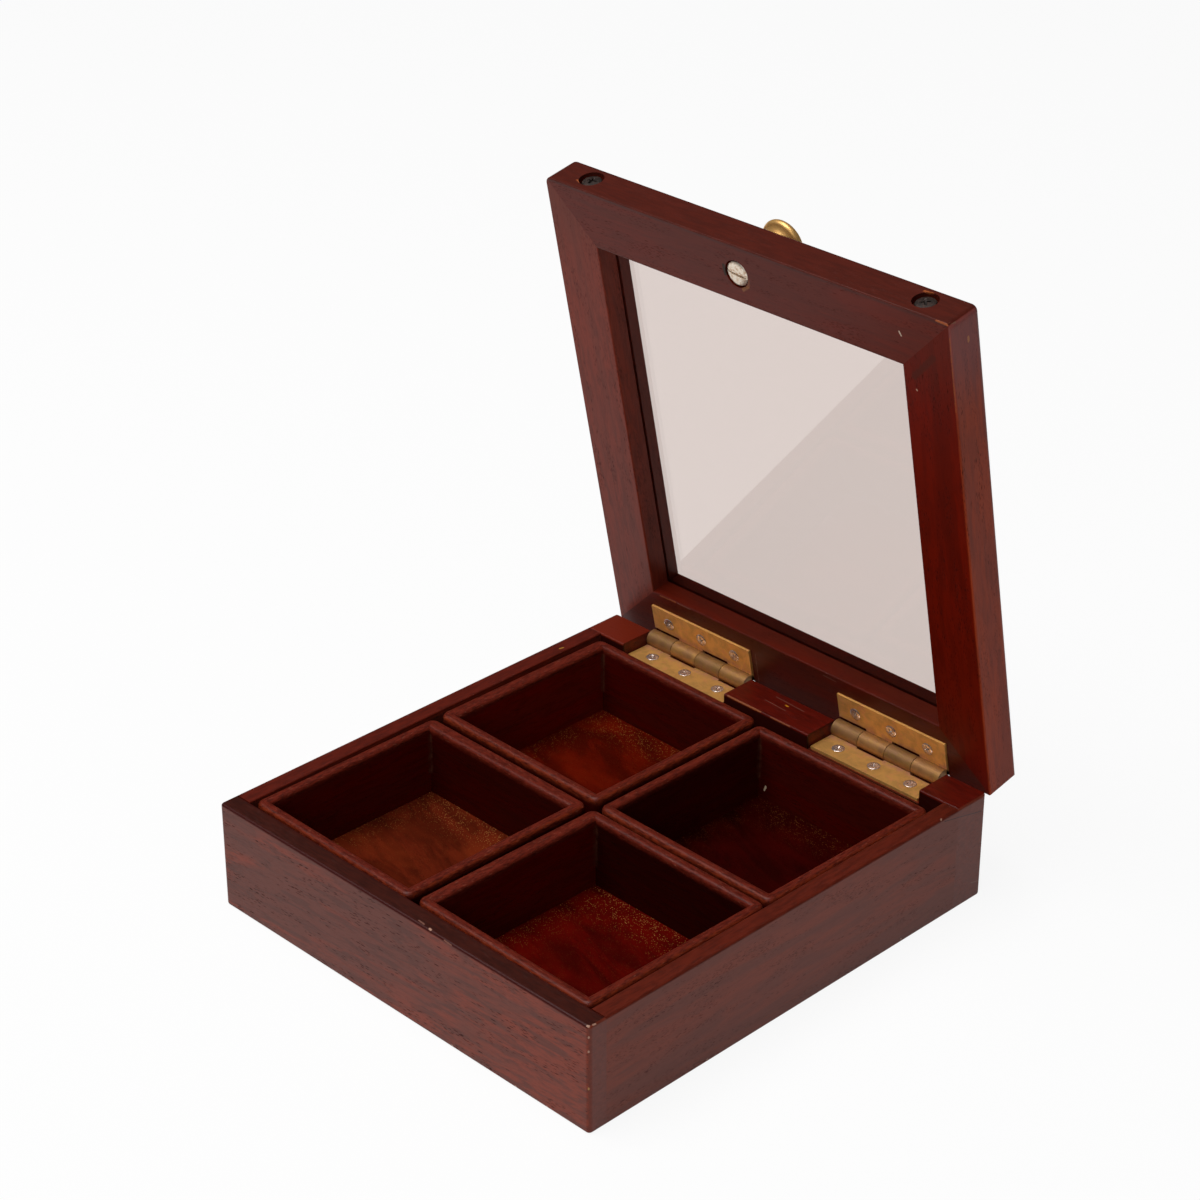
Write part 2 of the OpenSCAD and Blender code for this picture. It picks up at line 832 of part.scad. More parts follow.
tray_wall(front_left, 0);  // front_left_tray_front
tray_wall(front_left, 1);  // front_left_tray_right
tray_wall(front_left, 2);  // front_left_tray_back
tray_wall(front_left, 3);  // front_left_tray_left
tray_floor(front_left);  // front_left_tray_floor

tray_wall(rear_left, 0);  // rear_left_tray_front
tray_wall(rear_left, 1);  // rear_left_tray_right
tray_wall(rear_left, 2);  // rear_left_tray_back
tray_wall(rear_left, 3);  // rear_left_tray_left
tray_floor(rear_left);  // rear_left_tray_floor

tray_wall(rear_right, 0);  // rear_right_tray_front
tray_wall(rear_right, 1);  // rear_right_tray_right
tray_wall(rear_right, 2);  // rear_right_tray_back
tray_wall(rear_right, 3);  // rear_right_tray_left
tray_floor(rear_right);  // rear_right_tray_floor

tray_wall(front_right, 0);  // front_right_tray_front
tray_wall(front_right, 1);  // front_right_tray_right
tray_wall(front_right, 2);  // front_right_tray_back
tray_wall(front_right, 3);  // front_right_tray_left
tray_floor(front_right);  // front_right_tray_floor
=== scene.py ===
import math

import bpy
from mathutils import Matrix, Vector


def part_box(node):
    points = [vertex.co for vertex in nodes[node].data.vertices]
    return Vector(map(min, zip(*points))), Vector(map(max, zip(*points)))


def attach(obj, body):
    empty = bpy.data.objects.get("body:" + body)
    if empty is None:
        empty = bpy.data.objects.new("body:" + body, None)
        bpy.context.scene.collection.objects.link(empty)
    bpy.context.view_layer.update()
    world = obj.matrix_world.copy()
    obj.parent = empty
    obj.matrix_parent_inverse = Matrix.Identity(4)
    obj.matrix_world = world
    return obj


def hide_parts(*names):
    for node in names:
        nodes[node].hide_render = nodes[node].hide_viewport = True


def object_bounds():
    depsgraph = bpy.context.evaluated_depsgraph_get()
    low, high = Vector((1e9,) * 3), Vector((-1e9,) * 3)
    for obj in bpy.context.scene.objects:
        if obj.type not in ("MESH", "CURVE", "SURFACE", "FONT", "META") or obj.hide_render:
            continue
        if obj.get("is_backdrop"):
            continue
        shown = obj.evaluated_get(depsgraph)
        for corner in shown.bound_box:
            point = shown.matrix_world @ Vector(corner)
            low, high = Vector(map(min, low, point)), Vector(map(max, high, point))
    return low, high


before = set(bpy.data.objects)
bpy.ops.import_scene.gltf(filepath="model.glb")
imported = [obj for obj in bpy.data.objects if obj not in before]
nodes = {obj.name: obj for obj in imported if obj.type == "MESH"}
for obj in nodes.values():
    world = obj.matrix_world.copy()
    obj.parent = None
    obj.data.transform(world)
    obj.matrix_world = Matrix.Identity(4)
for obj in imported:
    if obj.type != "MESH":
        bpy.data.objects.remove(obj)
cad_low, cad_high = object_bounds()
mm = 0.001


# ---------------------------------------------------------------- Table and light
# The box stands on a plain pale table top. A large soft lamp hangs over it, a weak one stands
# in front, and the room round it is dim. The camera looks down at the front right corner.
class Dye:
    """A socket in a finish's nodes. Sums and products of sockets add Math nodes."""

    def __init__(self, tree, socket):
        self.tree, self.socket = tree, socket

    def add(self, kind, settings=(), sockets=(), out=0):
        """Adds a node of a type, with its settings first and then its sockets' values or links."""
        node = self.tree.nodes.new("ShaderNode" + kind)
        for name, value in dict(settings).items():
            setattr(node, name, value)
        for name, value in dict(sockets).items():
            if isinstance(value, Dye):
                self.tree.links.new(value.socket, node.inputs[name])
            else:
                node.inputs[name].default_value = value
        return Dye(self.tree, node.outputs[out])

    def maths(self, operation, *others):
        return self.add("Math", {"operation": operation}, enumerate((self, *others)))

    def vector(self, operation, *others, out=0):
        return self.add("VectorMath", {"operation": operation}, enumerate((self, *others)), out)

    def __add__(self, other):
        return self.maths("ADD", other)

    def __sub__(self, other):
        return self.maths("SUBTRACT", other)

    def __mul__(self, other):
        return self.maths("MULTIPLY", other)

    def step(self, low, high):
        """0 at low and 1 at high, with a smooth rise between them. High may be the lesser."""
        rise = high > low
        ends = {"From Min": min(low, high), "From Max": max(low, high),
                "To Min": 0.0 if rise else 1.0, "To Max": 1.0 if rise else 0.0}
        return self.add("MapRange", {"interpolation_type": "SMOOTHSTEP"}, {"Value": self, **ends})

    def mix(self, low, high):
        """The colour low where this share is 0, and high where it is 1."""
        shades = [shade if isinstance(shade, Dye) else (*shade, 1) for shade in (low, high)]
        return self.add("Mix", {"data_type": "RGBA"}, {0: self, 6: shades[0], 7: shades[1]}, 2)

    def moved(self, turn=(0, 0, 0), shift=(0, 0, 0), scale=(1, 1, 1)):
        return self.add("Mapping", {}, {
            "Vector": self, "Location": shift, "Rotation": turn, "Scale": scale})

    def noise(self, scale, detail=2.0, rough=0.5, distort=0.0, out=0):
        return self.add("TexNoise", {}, {
            "Vector": self, "Scale": scale, "Detail": detail, "Roughness": rough,
            "Distortion": distort}, out)

    def cells(self, scale, out=0):
        return self.add("TexVoronoi", {}, {"Vector": self, "Scale": scale}, out)

    def axis(self, number):
        return self.add("SeparateXYZ", {}, {"Vector": self}, number)


def finish(name):
    """A new material, its principled shader and its Object coordinates in millimetres."""
    material = bpy.data.materials.new(name)
    material.use_nodes = True
    shader = material.node_tree.nodes["Principled BSDF"]
    start = Dye(material.node_tree, None)
    return material, shader, start.add("TexCoord", out="Object").moved(scale=(1 / mm, 1 / mm, 1 / mm))


def feed(shader, **sockets):
    """Links or sets the shader's sockets, named with _ for a space."""
    for name, value in sockets.items():
        socket = shader.inputs[name.replace("_", " ")]
        if isinstance(value, Dye):
            value.tree.links.new(value.socket, socket)
        else:
            socket.default_value = value


def dress(piece, material):
    """Puts one material in all of a piece's slots."""
    if not piece.data.materials:
        piece.data.materials.append(material)
    for slot in range(len(piece.data.materials)):
        piece.data.materials[slot] = material


bpy.ops.object.select_all(action="DESELECT")
bpy.ops.mesh.primitive_plane_add(size=9)
table_top = bpy.context.object
table_top.name = "table_top"
table_top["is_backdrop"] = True
table_paint, shader, place = finish("table_paint")
feed(shader, Base_Color=(0.93, 0.93, 0.93, 1), Roughness=0.9, Specular_IOR_Level=0.0)
seen, mirrored, through = (
    place.add("LightPath", out=ray) for ray in ("Is Camera Ray", "Is Glossy Ray", "Is Transmission Ray"))
paleness = seen.maths("MAXIMUM", mirrored).maths("MAXIMUM", through) * 0.91
cover = place.add("MixShader", {}, {
    0: paleness, 1: Dye(place.tree, shader.outputs[0]), 2: place.add("Emission")})
place.tree.links.new(cover.socket, place.tree.nodes["Material Output"].inputs["Surface"])
dress(table_top, table_paint)

room = bpy.data.worlds.new("room")
room.use_nodes = True
room.node_tree.nodes["Background"].inputs["Color"].default_value = (0.05, 0.05, 0.052, 1)
bpy.context.scene.world = room

aim = Vector((0, 0, 0.05))
for name, spot, size, watts in (
    ("lamp_over", (-0.35, -0.55, 1.9), 1.5, 38.0),
    ("lamp_front", (0.9, -1.5, 1.1), 1.0, 4.5),
):
    lamp = bpy.data.lights.new(name, "AREA")
    lamp.size, lamp.energy = size, watts
    holder = bpy.data.objects.new(name, lamp)
    holder.location = spot
    holder.rotation_euler = (aim - Vector(spot)).to_track_quat("-Z", "Y").to_euler()
    bpy.context.scene.collection.objects.link(holder)

camera = bpy.data.objects.new("camera", bpy.data.cameras.new("camera"))
camera.data.sensor_width, camera.data.lens = 36, 92.59
camera.location = (0.6361, -0.6299, 0.6048)
camera.rotation_euler = (math.radians(61.48), 0, math.radians(45.37))
bpy.context.scene.collection.objects.link(camera)
bpy.context.scene.camera = camera
bpy.context.scene.view_settings.view_transform = "Standard"


# ---------------------------------------------------------------- Box walls and bottom
# Five boards of one dark red-brown hardwood. The front and rear walls run across the ends of
# the side walls, so their end grain shows on the sides. Satin finish over open pores, with the
# pale wood showing where corners were knocked.
def wood(name, grain, red, brown, seed, turn=0.0, tilt=0.0, gloss=0.24, rough=0.4,
         figure=1.0, pore_share=1.0, pore_scale=2.0, lean=None):
    """Stained hardwood whose grain runs along an axis, 0, 1 or 2, before the piece's turn about X.
    Figure is the strength of its bands and fibres. It grows redder along the lean, a vector."""
    material, shader, place = finish(name)
    board = place.moved(turn=(turn, 0, 0)) if turn else place
    lie = board.moved(turn=(0, tilt, tilt), shift=(seed * 13.7, seed * 7.3, seed * 3.1))
    along = [1.0, 1.0, 1.0]
    along[grain] = 0.12
    wide = lie.moved(scale=along)
    clouds = wide.noise(0.09, 3, 0.6, 0.8)
    if lean:
        clouds = clouds + board.vector("DOT_PRODUCT", lean, out=1)
    clouds = clouds.step(0.42, 0.58)
    bands = wide.noise(0.5, 3, 0.65, 0.5)
    fibres = wide.noise(2.0, 3, 0.7)
    along[grain] = 0.14
    fine, coarse = lie.moved(scale=along), lie.moved(scale=along, shift=(5, 9, 4))
    pores = fine.cells(pore_scale).step(0.38, 0.14) * wide.noise(0.3, 2).step(0.46, 0.62)
    pitted = wide.noise(0.2, 2, out=1).axis(0).step(0.52, 0.66)
    pores = pores.maths("MAXIMUM", coarse.cells(pore_scale / 2).step(0.25, 0.12) * pitted)
    tone = clouds.mix(brown, red)
    tone = (bands.step(0.45, 0.62) * (0.7 * figure)).mix(tone, [shade * 0.62 for shade in brown])
    tone = (fibres.step(0.48, 0.66) * (0.5 * figure)).mix(tone, [shade * 0.5 for shade in red])
    tone = (pores * (0.9 * pore_share)).mix(tone, [shade * 0.16 for shade in red])
    height = fibres * 0.3 + bands * 0.2 - pores * 0.9
    bump = place.add("Bump", {}, {"Strength": 0.22, "Distance": 0.00012, "Height": height})
    feed(shader, Base_Color=tone, Specular_IOR_Level=gloss, Normal=bump,
         Roughness=fibres * 0.12 + pores * 0.4 + (rough - 0.05))
    return material, shader, place, tone


def near(place, start, end, width):
    """1 on the line from start to end and 0 past its ragged edge, about width from it."""
    start, end = Vector(start), Vector(end)
    ragged = place.noise(1.6, 2, out=1).vector("MULTIPLY_ADD", (width,) * 3, place)
    offset = ragged.vector("SUBTRACT", start + Vector((width,) * 3) / 2)
    if (end - start).length > 0:
        line = end - start
        share = offset.vector("DOT_PRODUCT", line / line.length_squared, out=1)
        share = share.maths("MAXIMUM", 0).maths("MINIMUM", 1)
        run = share.add("CombineXYZ", {}, {axis: share * line[axis] for axis in range(3)})
        offset = offset.vector("SUBTRACT", run)
    return offset.vector("LENGTH", out=1).step(width, width * 0.45)


chip_pale = (0.42, 0.23, 0.16)
scratch_pale = (0.20, 0.085, 0.06)
wall_red, wall_brown = (0.225, 0.0290, 0.0085), (0.140, 0.0270, 0.0140)
right_wall_red, end_brown = (0.180, 0.0290, 0.0115), (0.175, 0.0290, 0.0135)
half_w, end_depth = 90.0, 0.35
rim_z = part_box("front_wall")[1].z / mm
front_edge = (89.5, -95.2)
# Each mark is a line's two ends, its width and its colour.
wall_marks = {
    "front_wall": (
        ((89.2, -94.8, rim_z - 0.2), (88.8, -94.9, rim_z - 0.2), 0.55, chip_pale),
        ((89.6, -93.4, rim_z - 0.2), (89.7, -92.4, rim_z - 0.3), 0.4, chip_pale),
        ((*front_edge, rim_z - 4.2), (*front_edge, rim_z - 4.0), 0.45, chip_pale),
        ((*front_edge, rim_z - 9.6), (*front_edge, rim_z - 9.4), 0.45, chip_pale),
        ((*front_edge, 17.4), (*front_edge, 17.8), 0.4, (0.40, 0.21, 0.06)),
        ((16.3, -94.6, rim_z - 0.1), (17.1, -94.8, rim_z - 0.1), 0.55, chip_pale),
        ((10.5, -94.0, rim_z - 0.1), (13.2, -94.3, rim_z - 0.1), 0.45, scratch_pale),
        ((24.0, -95.3, rim_z - 0.4), (27.5, -95.4, rim_z - 0.6), 0.3, scratch_pale),
        ((26.5, -95.4, 1.0), (26.8, -95.4, 1.0), 0.4, chip_pale),
        ((56.3, -95.4, 0.8), (56.7, -95.4, 0.8), 0.4, chip_pale),
        ((71.0, -95.4, 0.9), (71.2, -95.4, 0.9), 0.35, chip_pale),
    ),
    "right_wall": (
        ((90.0, 73.2, rim_z - 1.4), (90.0, 80.7, rim_z - 3.1), 0.18, (0.02, 0.003, 0.002)),
        ((89.6, 71.5, rim_z - 0.5), (89.4, 72.0, rim_z - 0.2), 0.4, chip_pale),
        ((89.9, -42.5, 1.2), (89.9, -42.2, 1.2), 0.4, chip_pale),
        ((89.9, 53.1, 1.5), (89.9, 53.4, 1.5), 0.4, chip_pale),
    ),
    "rear_wall": (
        ((90.0, 80.7, rim_z - 3.1), (90.0, 93.5, rim_z - 6.2), 0.18, (0.02, 0.003, 0.002)),
        ((90.0, 90.1, 7.0), (90.0, 95.0, 5.9), 0.2, scratch_pale),
        ((1.5, 90.6, rim_z), (2.6, 90.4, rim_z), 0.5, (0.50, 0.20, 0.01)),
        ((-5.0, 92.6, rim_z), (9.0, 91.9, rim_z), 0.16, scratch_pale),
        ((-6.5, 88.2, rim_z), (4.0, 87.6, rim_z), 0.14, scratch_pale),
        ((-18.0, 80.9, rim_z - 0.2), (-2.0, 80.9, rim_z - 0.2), 0.5, (0.26, 0.070, 0.020)),
        ((3.0, 80.9, rim_z - 0.3), (12.0, 80.9, rim_z - 0.3), 0.35, (0.22, 0.055, 0.016)),
    ),
    "left_wall": (((-85.6, 61.6, rim_z - 0.1), (-85.2, 63.0, rim_z - 0.2), 0.5, (0.42, 0.20, 0.03)),),
}
# Each wall's rim top has its own tone, darker than the wall's faces: painted shade for the little light and
# sheen that the upward faces catch.
rim_shade_tones = {
    "front_wall": (0.050, 0.0070, 0.0030), "rear_wall": (0.115, 0.0050, 0.0010),
    "right_wall": (0.120, 0.0140, 0.0055), "left_wall": (0.120, 0.0110, 0.0040)}
rim_crease_shade, rear_end_pale = (0.043, 0.0020, 0.0006), (0.160, 0.0150, 0.0045)
rear_face_shade, rear_face_y = (0.030, 0.0020, 0.0008), 81.0
for node, grain, seed, tilt, gain, gloss, figure, pore_scale, lean in (
    ("front_wall", 0, 1.0, 0.06, 0.95, 0.24, 1.0, 2.0, (0.0009, 0, -0.002)),
    ("rear_wall", 0, 2.0, 0.03, 1.0, 0.24, 0.8, 2.0, None),
    ("left_wall", 1, 3.0, 0.03, 1.0, 0.24, 0.8, 2.0, None),
    ("right_wall", 1, 4.0, 0.04, 1.15, 0.19, 0.35, 3.4, None),
    ("bottom_panel", 1, 5.0, 0.02, 1.0, 0.24, 0.8, 2.0, None),
):
    redder = right_wall_red if node == "right_wall" else wall_red
    red, brown = ([shade * gain for shade in stain] for stain in (redder, wall_brown))
    material, shader, place, tone = wood(node, grain, red, brown, seed, tilt=tilt, gloss=gloss,
                                         figure=figure, pore_scale=pore_scale, lean=lean)
    if node in rim_shade_tones:
        rim = place.axis(2).step(rim_z - 1.1, rim_z - 0.5)
        streaks = place.moved(scale=(0.15, 1, 1) if grain == 0 else (1, 0.15, 1)).noise(1.2, 3, 0.6)
        rim_tone = streaks.step(0.35, 0.7).mix(rim_shade_tones[node], [shade * 0.6 for shade in rim_shade_tones[node]])
        if node == "front_wall":
            # On the front rim the eased edges on either side of the flat are painted darker still: painted
            # shade in the creases.
            flat = place.axis(1).step(-94.9, -94.4) * place.axis(1).step(-88.5, -89.0)
            rim_tone = flat.mix(rim_crease_shade, rim_tone)
        if node == "rear_wall":
            rim_tone = place.axis(0).step(-50, -78).mix(rim_tone, rear_end_pale)
            # The rear wall's inner face, down behind the trays, is painted dark: painted shade.
            tone = place.axis(1).step(rear_face_y + 0.9, rear_face_y).mix(tone, rear_face_shade)
        tone = rim.mix(tone, rim_tone)
    if grain == 0:
        past_end = place.axis(0).maths("ABSOLUTE").step(half_w - end_depth - 0.5, half_w - end_depth)
        rings = place.moved(scale=(1, 0.5, 1)).noise(0.8, 3, 0.6).step(0.3, 0.7)
        tone = past_end.mix(tone, rings.mix([shade * 0.75 for shade in end_brown], end_brown))
    for start, end, width, shade in wall_marks.get(node, ()):
        tone = near(place, start, end, width).mix(tone, shade)
    feed(shader, Base_Color=tone)
    dress(nodes[node], material)


# ---------------------------------------------------------------- Trays
# Four loose trays with mitred walls and a let-in floor, of the same wood, stained redder and
# darker. Handling has polished their rounded rims, and golden dust lies at their floors' backs.
tray_red, tray_brown = (0.046, 0.0011, 0.0003), (0.040, 0.0022, 0.0009)
rim_red, rim_dark, rim_outer_lit = (0.145, 0.0155, 0.0065), (0.060, 0.0050, 0.0018), (0.200, 0.0260, 0.0070)
scuff_pale, corner_worn, dust_gold = (0.260, 0.0850, 0.0520), (0.120, 0.0380, 0.0210), (0.46, 0.20, 0.055)
fleck_pale = (0.80, 0.62, 0.42)
tray_sides = (
    ("front", (0, -1), 0), ("right", (1, 0), 1), ("back", (0, 1), 0), ("left", (-1, 0), 1))
# Each tray's turn, dust, floor stain and the gains of its left and back walls. The floor stains and the
# wall gains are partly painted light and shade: each tray's floor and walls are made lighter or darker for
# the light that reaches them.
trays = (
    ("front_left_tray", -0.7, 1.0, (0.110, 0.0120, 0.0035), 2.6, 1.0),
    ("rear_left_tray", -0.9, 0.9, (0.088, 0.0036, 0.0003), 4.2, 1.4),
    ("rear_right_tray", -0.6, 0.35, (0.026, 0.0003, 0.0001), 1.7, 1.4),
    ("front_right_tray", -0.7, 1.1, (0.076, 0.0012, 0.0003), 3.0, 0.6),
)
for number, (tray, tray_turn, dust, floor_stain_and_shade, left_shade_gain, back_shade_gain) in enumerate(trays):
    rim_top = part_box(f"{tray}_front")[1].z / mm
    floor = nodes[f"{tray}_floor"]
    low, high = (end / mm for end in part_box(floor.name))
    skew = (high.x - low.x) * math.sin(math.radians(abs(tray_turn)))
    far_corner = (low.x + skew, high.y)
    for side, out, grain in tray_sides:
        seed = 6 + 5 * number + grain * 2.3 + (side in ("front", "right"))
        gain = {"left": left_shade_gain, "back": back_shade_gain}.get(side, 1.0)
        red, brown = ([shade * gain for shade in stain] for stain in (tray_red, tray_brown))
        material, shader, place, tone = wood(
            f"{tray}_{side}", grain, red, brown, seed, gloss=0.05, rough=0.5, figure=0.7, pore_share=0.5)
        if side in ("back", "left"):
            line = near(place, (*far_corner, high.z + 9), (*far_corner, rim_top - 3.5), 1.5)
            tone = (line * place.noise(0.4, 3).step(0.2, 0.8)).mix(tone, corner_worn)
        if (tray, side) == ("rear_right_tray", "back"):
            tone = near(place, (far_corner[0] + 2.9, high.y, high.z + 4.0),
                        (far_corner[0] + 3.5, high.y, high.z + 5.6), 0.55).mix(tone, fleck_pale)
        rim = (place.axis(2) + place.noise(0.4, 3) * 1.2).step(rim_top - 2.6, rim_top - 0.9)
        outward = Matrix.Rotation(math.radians(tray_turn), 3, "Z") @ Vector((*out, 0))
        wall = nodes[f"{tray}_{side}"]
        reach = max(outward.dot(vertex.co) for vertex in wall.data.vertices) / mm
        # The outer slope of each tray's rim is painted lighter and more orange: painted light on the side
        # that faces out.
        slope = place.vector("DOT_PRODUCT", outward, out=1).step(reach - 1.3, reach - 0.3)
        rubbed = place.moved(scale=(0.2, 1, 1) if grain == 0 else (1, 0.2, 1))
        rim_tone = rubbed.noise(1.6, 4, 0.7).step(0.34, 0.62).mix(rim_dark, slope.mix(rim_red, rim_outer_lit))
        scuffs = rubbed.noise(2.6, 3, 0.7, out=1).axis(0).step(0.60, 0.70)
        rim_tone = (scuffs * 0.7).mix(rim_tone, scuff_pale)
        feed(shader, Base_Color=rim.mix(tone, rim_tone), Coat_Weight=rim * 0.3, Coat_Roughness=0.38)
        dress(wall, material)
    material, shader, place, tone = wood(
        floor.name, 0, floor_stain_and_shade, [shade * 0.62 for shade in floor_stain_and_shade], 9.5 + 5 * number,
        tilt=0.3, gloss=0.02, rough=0.5, figure=0.4, pore_share=0.4)
    lit = place.moved(scale=(0.6, 1, 1)).noise(0.07, 2, 0.5).step(0.42, 0.75)
    tone = (lit * 0.5).mix(tone, [shade * gain for shade, gain in zip(floor_stain_and_shade, (1.8, 2.1, 1.6))])
    from_back = (place.axis(1) + place.noise(0.2, 3) * 8).step(high.y - 16, high.y + 2)
    from_left = (place.axis(0) + place.noise(0.2, 3) * -8).step(low.x + 12, low.x - 5)
    from_right = (place.axis(0) + place.noise(0.2, 3) * 6).step(high.x - 9, high.x + 4)
    specks = place.cells(1.9).step(0.34, 0.16) * place.cells(1.9, 1).axis(0).step(0.40, 0.50)
    piled = from_back.maths("MAXIMUM", from_left * 0.7).maths("MAXIMUM", from_right * 0.5) * 0.95 + 0.08
    tone = (specks * piled * place.noise(0.3, 2).step(0.30, 0.55) * dust).mix(tone, dust_gold)
    feed(shader, Base_Color=tone)
    dress(floor, material)


# ---------------------------------------------------------------- Lid frame
# Four mitred rails round a sheet of glass, turned open about the hinge pins. Their grain
# follows their length. The right rail's edges are worn to the pale wood.
pin = Vector((0, 95.65, rim_z - 2.6)) * mm
open_angle = math.radians(-78.6)
lid_turn = Matrix.Translation(pin) @ Matrix.Rotation(open_angle, 4, "X") @ Matrix.Translation(-pin)


def on_lid(x, y, z):
    """A place given on the closed box, carried to the open lid, in millimetres."""
    return tuple(lid_turn @ (Vector((x, y, z)) * mm) / mm)


worn_orange, fleck_cream = (0.30, 0.075, 0.022), (0.55, 0.40, 0.30)
inner_z, lid_front_y = rim_z + 0.4, -94.8
lid_marks = {
    "lid_front_rail": (
        (on_lid(-7.6, -85.6, inner_z), on_lid(-7.3, -82.3, inner_z), 0.9, (0.030, 0.010, 0.004)),
        (on_lid(2.6, -80.6, inner_z), on_lid(0.2, -78.6, inner_z), 0.9, (0.22, 0.070, 0.020)),
        (on_lid(3.2, -83.0, inner_z), on_lid(3.0, -80.9, inner_z), 0.6, (0.19, 0.050, 0.016)),
        (on_lid(68.0, -85.3, inner_z), on_lid(68.7, -84.0, inner_z), 0.42, fleck_cream),
        (on_lid(84.0, -94.6, inner_z), on_lid(88.4, -94.4, inner_z), 0.5, worn_orange),
        (on_lid(88.2, lid_front_y, rim_z + 1.1), on_lid(88.9, lid_front_y, rim_z + 6.6), 0.3, scratch_pale),
        (on_lid(70.0, lid_front_y, rim_z + 11.5), on_lid(73.0, lid_front_y, rim_z + 11.8), 0.7,
         worn_orange),
        (on_lid(-78.9, lid_front_y, rim_z + 4.4), on_lid(-77.0, lid_front_y, rim_z + 3.7), 0.45,
         worn_orange),
    ),
    "lid_right_rail": (
        (on_lid(88.9, -90.0, rim_z + 0.5), on_lid(88.9, -62.0, rim_z + 0.5), 0.32, worn_orange),
        (on_lid(88.8, -58.0, rim_z + 0.5), on_lid(88.8, -40.0, rim_z + 0.5), 0.22, worn_orange),
        (on_lid(89.4, -84.6, rim_z + 8.4), on_lid(89.4, -86.2, rim_z + 8.4), 0.6, (0.42, 0.16, 0.07)),
        (on_lid(73.1, -65.3, inner_z), on_lid(73.3, -65.0, inner_z), 0.4, chip_pale),
        (on_lid(72.6, -70.0, inner_z), on_lid(81.5, -80.0, inner_z), 1.6, (0.085, 0.011, 0.005)),
        (on_lid(88.3, -94.3, rim_z + 0.8), on_lid(88.9, -93.9, rim_z + 3.6), 0.4, scratch_pale),
    ),
    "lid_rear_rail": (
        (on_lid(-66.0, 75.9, inner_z), on_lid(-58.0, 75.7, inner_z), 0.32, worn_orange),
        (on_lid(-57.0, 75.7, inner_z), on_lid(-50.5, 75.7, inner_z), 0.22, scratch_pale),
        (on_lid(-18.9, 82.5, inner_z), on_lid(-18.9, 95.5, inner_z), 0.22, scratch_pale),
        (on_lid(15.0, 77.0, inner_z), on_lid(21.0, 77.2, inner_z), 0.25, scratch_pale),
    ),
}
edge_face_shade, edge_face_shade_light = (0.066, 0.0105, 0.0060), (0.090, 0.0130, 0.0070)
left_top_shade, right_top_sheen = (0.125, 0.0210, 0.0110), (0.105, 0.0130, 0.0055)
side_light_gains, side_x = (2.1, 6.8, 16.5), 89.2
# Each rail has its own red and brown. This is partly painted light: the same wood is made lighter on the
# left rail and darker on the right, for the light and reflection that each one catches.
for node, grain, seed, gloss, figure, red, brown in (
    ("lid_front_rail", 0, 31.0, 0.16, 0.4, (0.130, 0.0110, 0.0030), (0.110, 0.0115, 0.0040)),
    ("lid_rear_rail", 0, 32.0, 0.15, 0.6, (0.115, 0.0085, 0.0025), (0.095, 0.0100, 0.0035)),
    ("lid_left_rail", 1, 33.0, 0.16, 0.8, (0.230, 0.0290, 0.0120), (0.200, 0.0290, 0.0140)),
    ("lid_right_rail", 1, 34.0, 0.09, 0.6, (0.155, 0.0060, 0.0006), (0.115, 0.0050, 0.0008)),
):
    material, shader, place, tone = wood(
        node, grain, red, brown, seed, turn=-open_angle, tilt=0.03, gloss=gloss, rough=0.36,
        figure=figure, pore_share=1.0 if grain else 0.6, pore_scale=3.2)
    if node == "lid_front_rail":
        # The front edge face, which faces up on the open lid, is painted darker and greyer, mottled by
        # noise: painted shade and sheen.
        edge = place.moved(turn=(-open_angle, 0, 0)).axis(1)
        edge_y = (Matrix.Rotation(-open_angle, 3, "X") @ Vector(on_lid(0, lid_front_y, inner_z))).y
        face = edge.step(edge_y + 1.9, edge_y + 0.6)
        dull = place.moved(scale=(0.15, 1, 1)).noise(0.8, 4, 0.6).step(0.3, 0.7)
        tone = face.mix(tone, dull.mix(edge_face_shade, edge_face_shade_light))
    top_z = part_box(node)[1].z / mm
    if node == "lid_left_rail":
        # Towards its top the left rail is painted darker: painted shade.
        tone = (place.axis(2).step(top_z - 42, top_z - 8) * 0.65).mix(tone, left_top_shade)
    if node == "lid_right_rail":
        # Towards its top the right rail is painted duller and greyer: painted sheen.
        tone = (place.axis(2).step(top_z - 40, top_z - 10) * 0.6).mix(tone, right_top_sheen)
        # The right rail's outer side face is painted much lighter and paler: painted light on that side.
        side = place.axis(0).step(side_x - 0.8, side_x)
        tone = side.mix(tone, tone.vector("MULTIPLY", side_light_gains))
    for start, end, width, shade in lid_marks.get(node, ()):
        tone = near(place, start, end, width).mix(tone, shade)
    feed(shader, Base_Color=tone)
    dress(nodes[node], material)

# Plain window glass in a groove of the rails. Its pinkish grey tint is partly a painted reflection of the
# red wood round it.
glass, shader, place = finish("window_glass")
feed(shader, Base_Color=(0.716, 0.618, 0.580, 1), Roughness=0.0, IOR=1.45, Transmission_Weight=1.0)
dress(nodes["lid_glass"], glass)


